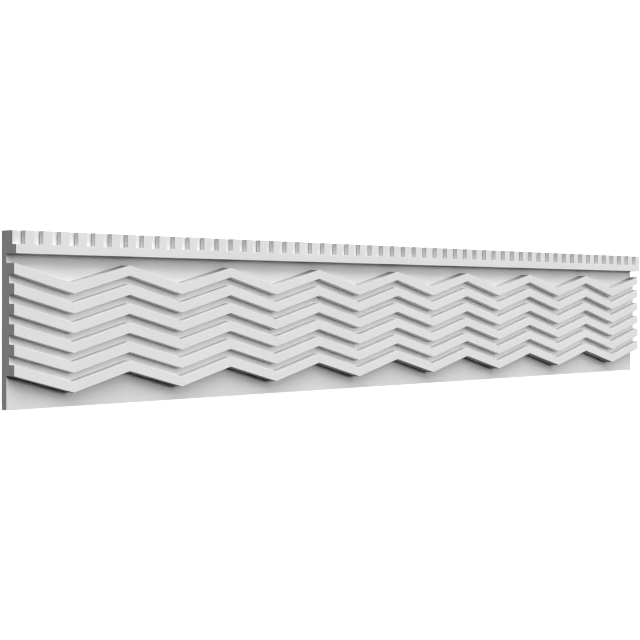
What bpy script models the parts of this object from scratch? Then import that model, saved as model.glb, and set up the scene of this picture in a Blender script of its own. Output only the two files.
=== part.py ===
"""One length of frieze moulding: a dentil course over six zigzag ribs, cast in one piece.

Metres, +Z up. X runs along the length, the flat back lies in the plane Y = 0 and the carved
face looks along -Y. The origin is the middle of the back, where the wall meets it.
"""

import bmesh
import bpy

# Length: lengths butt end to end in pattern, so one holds only whole zigzags and whole dentils
ZIGZAGS = 8
ZIGZAG_PITCH = 0.125

# Heights, from the top edge down
BAND_HEIGHT = 0.0195
PEAK_DROP = 0.0077
RIBS = 6
RIB_HEIGHT = 0.0092
GROOVE_HEIGHT = 0.0078
ZIGZAG_SWING = 0.0164
FOOT_MARGIN = 0.0122

# Thicknesses, from the back forward
PLATE_THICKNESS = 0.0065
PAD_RISE = 0.0038
RIB_RISE = 0.0071
BAND_DEPTH = 0.0200

# Dentils: the gaps are cut into the band from its top edge
DENTIL_WIDTH = 0.00925
DENTIL_GAP = 0.00925
GAP_HEIGHT = 0.0118
GAP_DEPTH = 0.0052

# How far a cutter runs on past the faces it opens
OVERCUT = 0.004

# Whitish matt plaster, as linear colour
PLASTER_COLOUR = (0.80, 0.80, 0.79, 1.0)
PLASTER_ROUGHNESS = 0.85

LENGTH = ZIGZAGS * ZIGZAG_PITCH
RIB_FIELD_HEIGHT = RIBS * RIB_HEIGHT + (RIBS - 1) * GROOVE_HEIGHT
HEIGHT = BAND_HEIGHT + PEAK_DROP + RIB_FIELD_HEIGHT + ZIGZAG_SWING + FOOT_MARGIN
PAD_FACE = PLATE_THICKNESS + PAD_RISE
RIB_FACE = PAD_FACE + RIB_RISE
TOP = HEIGHT / 2
BAND_FOOT = TOP - BAND_HEIGHT


def clear_scene():
    for old in list(bpy.data.objects):
        bpy.data.objects.remove(old, do_unlink=True)


def plaster():
    material = bpy.data.materials.new("cast_gypsum_plaster")
    material.use_nodes = True
    shader = material.node_tree.nodes["Principled BSDF"]
    shader.inputs["Base Color"].default_value = PLASTER_COLOUR
    shader.inputs["Roughness"].default_value = PLASTER_ROUGHNESS
    shader.inputs["Metallic"].default_value = 0.0
    return material


def mesh_object(name, shape):
    mesh = bpy.data.meshes.new(name)
    shape.to_mesh(mesh)
    shape.free()
    made = bpy.data.objects.new(name, mesh)
    bpy.context.scene.collection.objects.link(made)
    return made


def section():
    """The cross-section as (depth, height, swings) from the back's foot round the face to its top.

    Heights are those at a peak of the zigzag. A point that swings drops into each valley.
    """
    points = [(0.0, -TOP, False), (PLATE_THICKNESS, -TOP, False)]
    outline_top = BAND_FOOT - PEAK_DROP
    for rib in reversed(range(RIBS)):
        rib_top = outline_top - rib * (RIB_HEIGHT + GROOVE_HEIGHT)
        below = PLATE_THICKNESS if rib == RIBS - 1 else PAD_FACE
        above = PLATE_THICKNESS if rib == 0 else PAD_FACE
        points += [
            (below, rib_top - RIB_HEIGHT, True),
            (RIB_FACE, rib_top - RIB_HEIGHT, True),
            (RIB_FACE, rib_top, True),
            (above, rib_top, True),
        ]
    points += [
        (PLATE_THICKNESS, BAND_FOOT, False),
        (BAND_DEPTH, BAND_FOOT, False),
        (BAND_DEPTH, TOP, False),
        (0.0, TOP, False),
    ]
    return points


def moulding():
    """The section drawn along the length, with a station at each peak and each valley."""
    shape = bmesh.new()
    rings = []
    for station in range(2 * ZIGZAGS + 1):
        x = station * ZIGZAG_PITCH / 2 - LENGTH / 2
        fall = ZIGZAG_SWING if station % 2 else 0.0
        rings.append(
            [shape.verts.new((x, -depth, z - fall * swings)) for depth, z, swings in section()]
        )
    count = len(rings[0])
    for near, far in zip(rings, rings[1:]):
        for i in range(count):
            j = (i + 1) % count
            shape.faces.new((near[i], near[j], far[j], far[i]))
    shape.faces.new(reversed(rings[0]))
    shape.faces.new(rings[-1])
    bmesh.ops.recalc_face_normals(shape, faces=shape.faces)
    return mesh_object("frieze_moulding", shape)


def add_block(shape, low, high):
    block = bmesh.ops.create_cube(shape, size=1.0)["verts"]
    for vert in block:
        vert.co = [a + (b - a) * (c + 0.5) for a, b, c in zip(low, high, vert.co)]


def dentil_gap_cutter():
    """All the gaps in one mesh. A gap opens the left end, and a whole dentil closes the right."""
    shape = bmesh.new()
    dentils = round(LENGTH / (DENTIL_WIDTH + DENTIL_GAP))
    pitch = LENGTH / dentils
    for i in range(dentils):
        start = i * pitch - LENGTH / 2
        low_x = start if i else start - OVERCUT
        low = (low_x, -BAND_DEPTH - OVERCUT, TOP - GAP_HEIGHT)
        high = (start + DENTIL_GAP, GAP_DEPTH - BAND_DEPTH, TOP + OVERCUT)
        add_block(shape, low, high)
    cutter = mesh_object("dentil_gap_cutter", shape)
    cutter.hide_render = True
    cutter.display_type = "WIRE"
    return cutter


def main():
    clear_scene()
    frieze = moulding()
    cut = frieze.modifiers.new("dentil gaps", "BOOLEAN")
    cut.operation = "DIFFERENCE"
    cut.solver = "EXACT"
    cut.object = dentil_gap_cutter()
    frieze.data.materials.append(plaster())


main()
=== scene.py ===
import math

import bmesh
import bpy
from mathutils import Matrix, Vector
from mathutils.bvhtree import BVHTree


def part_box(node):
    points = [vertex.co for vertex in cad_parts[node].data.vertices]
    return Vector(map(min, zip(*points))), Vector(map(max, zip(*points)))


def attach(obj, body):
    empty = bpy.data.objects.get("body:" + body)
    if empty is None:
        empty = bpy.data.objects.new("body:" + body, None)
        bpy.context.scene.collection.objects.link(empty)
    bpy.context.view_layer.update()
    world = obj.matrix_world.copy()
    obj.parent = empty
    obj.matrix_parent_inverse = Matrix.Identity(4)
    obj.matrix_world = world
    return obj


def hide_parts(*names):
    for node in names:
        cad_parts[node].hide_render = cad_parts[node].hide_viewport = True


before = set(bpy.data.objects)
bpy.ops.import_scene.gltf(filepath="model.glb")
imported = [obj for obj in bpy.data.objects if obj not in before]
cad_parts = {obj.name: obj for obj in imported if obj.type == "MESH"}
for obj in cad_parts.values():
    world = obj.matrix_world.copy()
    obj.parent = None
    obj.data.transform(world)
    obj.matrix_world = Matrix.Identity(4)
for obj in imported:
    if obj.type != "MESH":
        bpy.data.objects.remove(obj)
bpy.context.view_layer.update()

MM = 0.001

# The casting's outside comes from the frame, and its section repeats the solid's own sizes
LOW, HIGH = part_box("frieze_moulding")
LENGTH = HIGH[0] - LOW[0]
FOOT = LOW[2]
TOP = HIGH[2]
BAND_DEPTH = HIGH[1] - LOW[1]
ZIGZAGS = 8
DENTILS = 54
BAND_HEIGHT = 19.5 * MM
PEAK_DROP = 7.7 * MM
RIBS = 6
RIB_HEIGHT = 9.2 * MM
GROOVE_HEIGHT = 7.8 * MM
ZIGZAG_SWING = 16.4 * MM
PLATE_THICKNESS = 6.5 * MM
PAD_FACE = 10.3 * MM
RIB_FACE = 17.4 * MM
GAP_HEIGHT = 11.8 * MM
GAP_FLOOR = 14.8 * MM
BAND_FOOT = TOP - BAND_HEIGHT
GAP_LEDGE = TOP - GAP_HEIGHT
ZIGZAG_PITCH = LENGTH / ZIGZAGS
DENTIL_PITCH = LENGTH / DENTILS
DENTIL_GAP = DENTIL_PITCH / 2

# A rubber mould gives soft arrises and a little more plaster in the roots. Sawn edges stay keener
ARRIS_RADIUS = 0.25 * MM
ROOT_RADIUS = 0.45 * MM
SAWN_RADIUS = 0.12 * MM
ROUNDING_STEPS = 3
SAME_PLACE = 0.001 * MM

# An edge that turns less than this lies within a flat face
CORNER_ANGLE = math.radians(10)

# How far faces lie off the sharp casting: a flat one at most, and the middle of a root at least
FLAT = 0.001 * MM
ROOT_MIDDLE = ROOT_RADIUS / 8

# How much of its normal a face has towards the back, up or outward to count as facing that way
FACING_BACK = 0.99
FACING_UP = 0.9
FACING_OUT = 0.1

# Painted shade greys the top rib's ledge under the band, most where a peak comes close to the band
PEAK_SHADE_REACH = 36 * MM

# A face that looks up, within this of the height of the top rib's ledge, is part of that ledge
LEDGE_MARGIN = 0.12 * MM

# Slots of the casting's own materials
MOULDED, ARRIS, ROOT, ROOT_SIDE, LEDGE, TOP_LEDGE, SAWN, STRUCK = range(8)

GYPSUM_IOR = 1.52

# An open pore is at its full depth from this share of its radius inward
PORE_FLOOR = 0.4

# The floor reaches past every view, and lies well below a piece that hangs free
FLOOR_SIZE = 60.0
FLOOR_DROP = 0.55

# Bright enough for the walls to come out pure white
WALL_BRIGHTNESS = 1.25

# The camera is level, and the rest of it was fitted to the photo. Its lens and sensor are in mm
CAMERA_PLACE = (-1.2399, -1.0348, 0.0158)
CAMERA_TURN = math.radians(-47.64)
SENSOR_WIDTH = 36.0
LENS = 83.69
FRAMING_SHIFT = -0.0292

# The photo is crisp. A pixel a little narrower than the usual one follows it without dotted edges
PIXEL_WIDTH = 1.1


def linear(hex_colour):
    """An sRGB hex colour, such as F2F0EC, as a linear colour with full alpha."""
    channels = [int(hex_colour[i:i + 2], 16) / 255 for i in (0, 2, 4)]
    return [c / 12.92 if c <= 0.04045 else ((c + 0.055) / 1.055) ** 2.4 for c in channels] + [1.0]


# The casting

def zigzag_fall(x):
    """How far the ribs have dropped below their peaks at x. Both ends are peaks."""
    along = (x + LENGTH / 2) / ZIGZAG_PITCH % 1.0
    return ZIGZAG_SWING * (1.0 - abs(2.0 * along - 1.0))


def section(x, in_gap):
    """The moulding's section at x, from the foot of its back round the face to its top."""
    fall = zigzag_fall(x)
    points = [(0.0, FOOT), (PLATE_THICKNESS, FOOT)]
    for rib in reversed(range(RIBS)):
        rib_top = BAND_FOOT - PEAK_DROP - fall - rib * (RIB_HEIGHT + GROOVE_HEIGHT)
        below = PLATE_THICKNESS if rib == RIBS - 1 else PAD_FACE
        above = PLATE_THICKNESS if rib == 0 else PAD_FACE
        points += [
            (below, rib_top - RIB_HEIGHT),
            (RIB_FACE, rib_top - RIB_HEIGHT),
            (RIB_FACE, rib_top),
            (above, rib_top),
        ]
    points += [(PLATE_THICKNESS, BAND_FOOT), (BAND_DEPTH, BAND_FOOT), (BAND_DEPTH, GAP_LEDGE)]
    points.append((GAP_FLOOR, GAP_LEDGE) if in_gap else (BAND_DEPTH, TOP))
    points += [(GAP_FLOOR, TOP), (0.0, TOP)]
    return [(x, -depth, z) for depth, z in points]


def stations():
    """Places along the length where the section changes, each with whether a gap follows it.

    They are rounded to a micrometre, so that a bend and a dentil's side at one place are one.
    """
    places = {}
    for i in range(2 * ZIGZAGS):
        x = i * ZIGZAG_PITCH / 2
        places[round(x, 6)] = x % DENTIL_PITCH < DENTIL_GAP
    for i in range(DENTILS):
        places[round(i * DENTIL_PITCH, 6)] = True
        places[round(i * DENTIL_PITCH + DENTIL_GAP, 6)] = False
    return [(x - LENGTH / 2, places[x]) for x in sorted(places)]


def dentil_side(x):
    """The side of a dentil at x, which the gap beside it lays bare."""
    return [
        (x, -BAND_DEPTH, GAP_LEDGE),
        (x, -BAND_DEPTH, TOP),
        (x, -GAP_FLOOR, TOP),
        (x, -GAP_FLOOR, GAP_LEDGE),
    ]


def sharp_casting():
    """The casting in quads from station to station, with sharp corners and a cap on each end."""
    shape = bmesh.new()

    def face(corners):
        return shape.faces.new([shape.verts.new(corner) for corner in corners])

    places = stations()
    ends = [x for x, _ in places[1:]] + [LENGTH / 2]
    for (start, in_gap), end in zip(places, ends):
        near, far = section(start, in_gap), section(end, in_gap)
        for i in range(len(near)):
            j = (i + 1) % len(near)
            face((near[i], near[j], far[j], far[i]))
    for (x, in_gap), (_, gap_before) in zip(places[1:], places):
        if in_gap != gap_before:
            face(dentil_side(x))
    face(reversed(section(-LENGTH / 2, places[0][1])))
    face(section(LENGTH / 2, places[-1][1]))
    bmesh.ops.remove_doubles(shape, verts=shape.verts, dist=SAME_PLACE)
    bmesh.ops.recalc_face_normals(shape, faces=shape.faces)
    return shape


def on_end(edge):
    """Whether an edge lies on one of the cut ends."""
    return all(abs(abs(vert.co.x) - LENGTH / 2) < SAME_PLACE for vert in edge.verts)


def on_back(edge):
    """Whether an edge lies on the back."""
    return all(abs(vert.co.y) < SAME_PLACE for vert in edge.verts)


def weigh_corners(shape):
    """Says how round each corner is: the roots most, then the arrises, and the sawn edges least."""
    weight = shape.edges.layers.float.new("bevel_weight_edge")
    for edge in shape.edges:
        if edge.calc_face_angle(0.0) < CORNER_ANGLE:
            continue
        if on_end(edge) or on_back(edge):
            radius = SAWN_RADIUS
        elif edge.calc_face_angle_signed() > 0:
            radius = ARRIS_RADIUS
        else:
            radius = ROOT_RADIUS
        edge[weight] = radius / ROOT_RADIUS


def rounded(piece):
    """The piece's mesh with each corner rounded by its weight."""
    rounding = piece.modifiers.new("rounding", "BEVEL")
    rounding.limit_method = "WEIGHT"
    rounding.offset_type = "OFFSET"
    rounding.width = ROOT_RADIUS
    rounding.segments = ROUNDING_STEPS
    shape = bmesh.new()
    shape.from_object(piece, bpy.context.evaluated_depsgraph_get())
    piece.modifiers.remove(rounding)
    bmesh.ops.dissolve_degenerate(shape, edges=shape.edges, dist=SAME_PLACE)
    return shape


def on_top_ledge(place):
    """Whether a place on a face that looks up is on the top rib, under the band."""
    top_ledge = BAND_FOOT - PEAK_DROP - zigzag_fall(place.x)
    return abs(place.z - top_ledge) < LEDGE_MARGIN


def give_finishes(shape, sharp_skin):
    """Gives each face its finish, from where it lies against the sharp casting.

    The roots fill the sharp corners, and are painted darker in the middle than at the sides as shade
    in the corners. The arrises, painted lighter as a highlight, are cut into them. A root that
    doesn't face outward, such as one between two ledges, is finished as a flat face. Of the flat
    faces, those that look up are painted a little darker as shade, the ends are sawn, the back is
    struck, and the rest is as it left the mould.
    """
    for face in shape.faces:
        middle = face.calc_center_median()
        skin, outward, _, _ = sharp_skin.find_nearest(middle)
        height = (middle - skin).dot(outward)
        from_end = LENGTH / 2 - abs(middle.x)
        if from_end < SAWN_RADIUS:
            face.material_index = SAWN
        elif -middle.y < SAWN_RADIUS:
            face.material_index = STRUCK if face.normal.y > FACING_BACK else SAWN
        elif height > FLAT and abs(face.normal.y) > FACING_OUT:
            face.material_index = ROOT if height > ROOT_MIDDLE else ROOT_SIDE
        elif height < -FLAT:
            face.material_index = ARRIS
        elif face.normal.z > FACING_UP:
            face.material_index = TOP_LEDGE if on_top_ledge(middle) else LEDGE
        else:
            face.material_index = MOULDED


def cast_frieze():
    """The whole casting as one piece, with rounded corners and a finish on each face."""
    sharp = sharp_casting()
    weigh_corners(sharp)
    mesh = bpy.data.meshes.new("cast_frieze")
    sharp.to_mesh(mesh)
    piece = bpy.data.objects.new("cast_frieze", mesh)
    bpy.context.scene.collection.objects.link(piece)
    shape = rounded(piece)
    give_finishes(shape, BVHTree.FromBMesh(sharp))
    shape.to_mesh(mesh)
    shape.free()
    sharp.free()
    mesh.shade_smooth()
    # At full weight the largest faces set the normals, so only the rounded corners are shaded round
    even = piece.modifiers.new("flat faces stay flat", "WEIGHTED_NORMAL")
    even.weight = 100
    return piece


# Finishes

def add(tree, kind, settings=None, links=None):
    """Adds a node with its settings and input values, and links inputs to the sockets given.

    An input that shares its name with others is given by its number.
    """
    node = tree.nodes.new(kind)
    for name, value in (settings or {}).items():
        if isinstance(name, int) or name in node.inputs:
            node.inputs[name].default_value = value
        else:
            setattr(node, name, value)
    for name, socket in (links or {}).items():
        tree.links.new(socket, node.inputs[name])
    return node


def plaster(name, dark, light, roughness, grain, marks, pores):
    """Dry gypsum plaster: a white body with a fine grain, broader marks and a few open pores.

    roughness is (least, most). grain is (size, depth). marks is (sizes along X, Y and Z, depth),
    and shades the body from dark to light. pores is (spacing, radius, depth).
    """
    material = bpy.data.materials.new(name)
    material.use_nodes = True
    tree = material.node_tree
    shader = tree.nodes["Principled BSDF"]
    shader.inputs["IOR"].default_value = GYPSUM_IOR
    place = add(tree, "ShaderNodeTexCoord").outputs["Object"]

    grain_size, grain_depth = grain
    grains = add(
        tree,
        "ShaderNodeTexNoise",
        {"Scale": 1.0 / grain_size, "Detail": 3.0, "Roughness": 0.6},
        {"Vector": place},
    ).outputs["Fac"]
    mark_sizes, mark_depth = marks
    mark_place = add(
        tree,
        "ShaderNodeMapping",
        {"Scale": [1.0 / size for size in mark_sizes]},
        {"Vector": place},
    ).outputs["Vector"]
    mark = add(
        tree,
        "ShaderNodeTexNoise",
        {"Scale": 1.0, "Detail": 2.0},
        {"Vector": mark_place},
    ).outputs["Fac"]
    pore_spacing, pore_radius, pore_depth = pores
    to_pore = add(
        tree,
        "ShaderNodeTexVoronoi",
        {"Scale": 1.0 / pore_spacing},
        {"Vector": place},
    ).outputs["Distance"]
    pore = add(
        tree,
        "ShaderNodeMapRange",
        {
            "interpolation_type": "SMOOTHSTEP",
            "From Min": pore_radius / pore_spacing,
            "From Max": PORE_FLOOR * pore_radius / pore_spacing,
        },
        {"Value": to_pore},
    ).outputs["Result"]

    # Most of a noise lies round the middle of its range, which is spread out here
    shade = add(
        tree,
        "ShaderNodeMapRange",
        {"From Min": 0.35, "From Max": 0.65},
        {"Value": mark},
    ).outputs["Result"]
    colour = add(
        tree,
        "ShaderNodeMixRGB",
        {"Color1": linear(dark), "Color2": linear(light)},
        {"Fac": shade},
    ).outputs["Color"]
    dullness = add(
        tree,
        "ShaderNodeMapRange",
        {"From Min": 0.3, "From Max": 0.7, "To Min": roughness[0], "To Max": roughness[1]},
        {"Value": grains},
    ).outputs["Result"]
    normal = None
    for height, depth in ((grains, grain_depth), (mark, mark_depth), (pore, -pore_depth)):
        under = {"Normal": normal} if normal else {}
        bump = add(tree, "ShaderNodeBump", {"Distance": depth}, {"Height": height, **under})
        normal = bump.outputs["Normal"]
    tree.links.new(colour, shader.inputs["Base Color"])
    tree.links.new(dullness, shader.inputs["Roughness"])
    tree.links.new(normal, shader.inputs["Normal"])
    return material


def moulded_plaster(name, dark, light):
    """Gypsum plaster off a rubber mould: a dense, matt, very even white skin.

    The eye gets a fine tooth, a hint of cloudiness from uneven drying, and a rare pinhole. The
    crystals are about 0.05 mm, too fine to show, so the tooth is drawn at 0.6 mm.
    """
    return plaster(
        name,
        dark,
        light,
        roughness=(0.80, 0.92),
        grain=(0.6 * MM, 0.010 * MM),
        marks=((60 * MM, 60 * MM, 60 * MM), 0.02 * MM),
        pores=(12 * MM, 0.25 * MM, 0.15 * MM),
    )


def top_ledge_plaster():
    """The moulded skin of the top ledge, with painted shade greying it towards the peaks under the
    band.

    A peak is at the middle of the length, so the others are whole pitches from X = 0.
    """
    material = moulded_plaster("plaster_top_ledge_painted_shade", "DADADA", "DDDDDD")
    tree = material.node_tree
    base_colour = tree.nodes["Principled BSDF"].inputs["Base Color"]
    unshaded_colour = base_colour.links[0].from_socket
    place = add(tree, "ShaderNodeTexCoord").outputs["Object"]
    along = add(tree, "ShaderNodeSeparateXYZ", {}, {"Vector": place}).outputs["X"]
    to_peak = add(
        tree,
        "ShaderNodeMath",
        {"operation": "PINGPONG", 1: ZIGZAG_PITCH / 2},
        {0: along},
    ).outputs["Value"]
    peak_shade = add(
        tree,
        "ShaderNodeMapRange",
        {"interpolation_type": "SMOOTHSTEP", "From Min": PEAK_SHADE_REACH, "From Max": 0.0},
        {"Value": to_peak},
    ).outputs["Result"]
    # Grey is mixed in towards each peak: painted shade where the band hangs close above the ledge
    shaded_colour = add(
        tree,
        "ShaderNodeMixRGB",
        {"Color2": linear("9C9C9C")},
        {"Fac": peak_shade, "Color1": unshaded_colour},
    ).outputs["Color"]
    tree.links.new(shaded_colour, base_colour)
    return material


def sawn_plaster():
    """Plaster cut with a fine saw: its open core looks dull, with faint strokes about 1 mm apart."""
    return plaster(
        "sawn_gypsum_plaster",
        # Darker than the moulded skin: partly the duller cut core, partly painted shade for the end
        # faces
        "CBCBCB",
        "D2D2D2",
        roughness=(0.88, 0.98),
        grain=(0.5 * MM, 0.03 * MM),
        marks=((1.0 * MM, 1.0 * MM, 40 * MM), 0.05 * MM),
        pores=(5 * MM, 0.35 * MM, 0.2 * MM),
    )


def struck_plaster():
    """Plaster struck off with a rule while wet: drag lines along the length, and open pores."""
    return plaster(
        "struck_gypsum_plaster",
        "D6D6D5",
        "E3E3E2",
        roughness=(0.86, 0.97),
        grain=(0.8 * MM, 0.04 * MM),
        marks=((130 * MM, 2.2 * MM, 2.2 * MM), 0.22 * MM),
        pores=(11 * MM, 0.7 * MM, 0.5 * MM),
    )


# Studio

def make_floor():
    """A plain floor in matt, almost white paint. The piece is a wall piece and hangs free here.

    The floor throws no light up at the piece.
    """
    bpy.ops.mesh.primitive_plane_add(size=FLOOR_SIZE, location=(0.0, 0.0, FOOT - FLOOR_DROP))
    floor = bpy.context.object
    floor.name = "studio_floor"
    material = bpy.data.materials.new("pale_floor_paint")
    material.use_nodes = True
    shader = material.node_tree.nodes["Principled BSDF"]
    shader.inputs["Base Color"].default_value = linear("FAFAFA")
    shader.inputs["Roughness"].default_value = 0.95
    floor.data.materials.append(material)
    floor.visible_diffuse = False
    floor.visible_glossy = False


def make_lamp(name, azimuth, elevation, width, strength):
    """A far, wide, soft lamp. Its azimuth, elevation and width are in degrees.

    Azimuth 0 is straight in front of the piece, and 90 is to the right as seen from there.
    """
    data = bpy.data.lights.new(name, "SUN")
    data.energy = strength
    data.angle = math.radians(width)
    lamp = bpy.data.objects.new(name, data)
    bpy.context.scene.collection.objects.link(lamp)
    a, e = math.radians(azimuth), math.radians(elevation)
    to_lamp = Vector((math.sin(a) * math.cos(e), -math.cos(a) * math.cos(e), math.sin(e)))
    lamp.rotation_euler = to_lamp.to_track_quat("Z", "Y").to_euler()


def make_walls():
    """White studio walls that only the camera sees. All the light on the piece is the lamps'."""
    world = bpy.data.worlds.new("studio_walls")
    bpy.context.scene.world = world
    world.use_nodes = True
    tree = world.node_tree
    seen = add(tree, "ShaderNodeLightPath").outputs["Is Camera Ray"]
    level = add(tree, "ShaderNodeMath", {"operation": "MULTIPLY", 1: WALL_BRIGHTNESS}, {0: seen})
    tree.links.new(level.outputs["Value"], tree.nodes["Background"].inputs["Strength"])
    tree.nodes["Background"].inputs["Color"].default_value = linear("FFFFFF")


def make_camera():
    """A level camera to the left of the piece. The small shift is the photo's own framing."""
    data = bpy.data.cameras.new("camera")
    camera = bpy.data.objects.new("camera", data)
    bpy.context.scene.collection.objects.link(camera)
    camera.location = CAMERA_PLACE
    camera.rotation_euler = (math.radians(90), 0.0, CAMERA_TURN)
    data.sensor_width = SENSOR_WIDTH
    data.lens = LENS
    data.shift_y = FRAMING_SHIFT
    bpy.context.scene.camera = camera


def dress():
    """The casting in its materials, in the order of the slots.

    It is one plaster. The arrises are painted whiter as a highlight, the roots and the ledges that
    look up are painted darker as shade, and the cut ends are darker, partly as painted shade.
    """
    frieze = cast_frieze()
    for material in (
        moulded_plaster("moulded_gypsum_plaster", "DFDFDF", "E2E2E2"),
        # The arrises are painted a little whiter than the body: a painted highlight along each edge
        moulded_plaster("plaster_arris_painted_highlight", "E6E6E6", "EAEAEA"),
        # The roots are painted dark, darkest in the middle: painted shade in the inner corners
        moulded_plaster("plaster_root", "8A8A8A", "969696"),
        moulded_plaster("plaster_root_side", "B4B4B4", "BCBCBC"),
        # The ledges that look up are painted a little darker than the body: painted shade on the
        # faces that look up
        moulded_plaster("plaster_ledge_painted_shade", "DADADA", "DDDDDD"),
        top_ledge_plaster(),
        sawn_plaster(),
        struck_plaster(),
    ):
        frieze.data.materials.append(material)
    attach(frieze, "root")
    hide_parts("frieze_moulding")


dress()
make_floor()
make_walls()

# The lamps' places and strengths follow how light or dark each kind of face is in the photo
make_lamp("low front softbox", azimuth=15, elevation=9, width=18, strength=1.06)
make_lamp("low right softbox", azimuth=75, elevation=9, width=18, strength=0.73)
make_lamp("front softbox", azimuth=15, elevation=30, width=30, strength=0.82)
make_lamp("upper left softbox", azimuth=-30, elevation=50, width=40, strength=1.60)
make_lamp("left fill", azimuth=-75, elevation=50, width=40, strength=0.24)
make_lamp("overhead softbox", azimuth=0, elevation=72, width=40, strength=0.71)
make_lamp("rear softbox", azimuth=180, elevation=20, width=40, strength=2.05)

make_camera()
bpy.context.scene.view_settings.view_transform = "Standard"
bpy.context.scene.cycles.filter_width = PIXEL_WIDTH
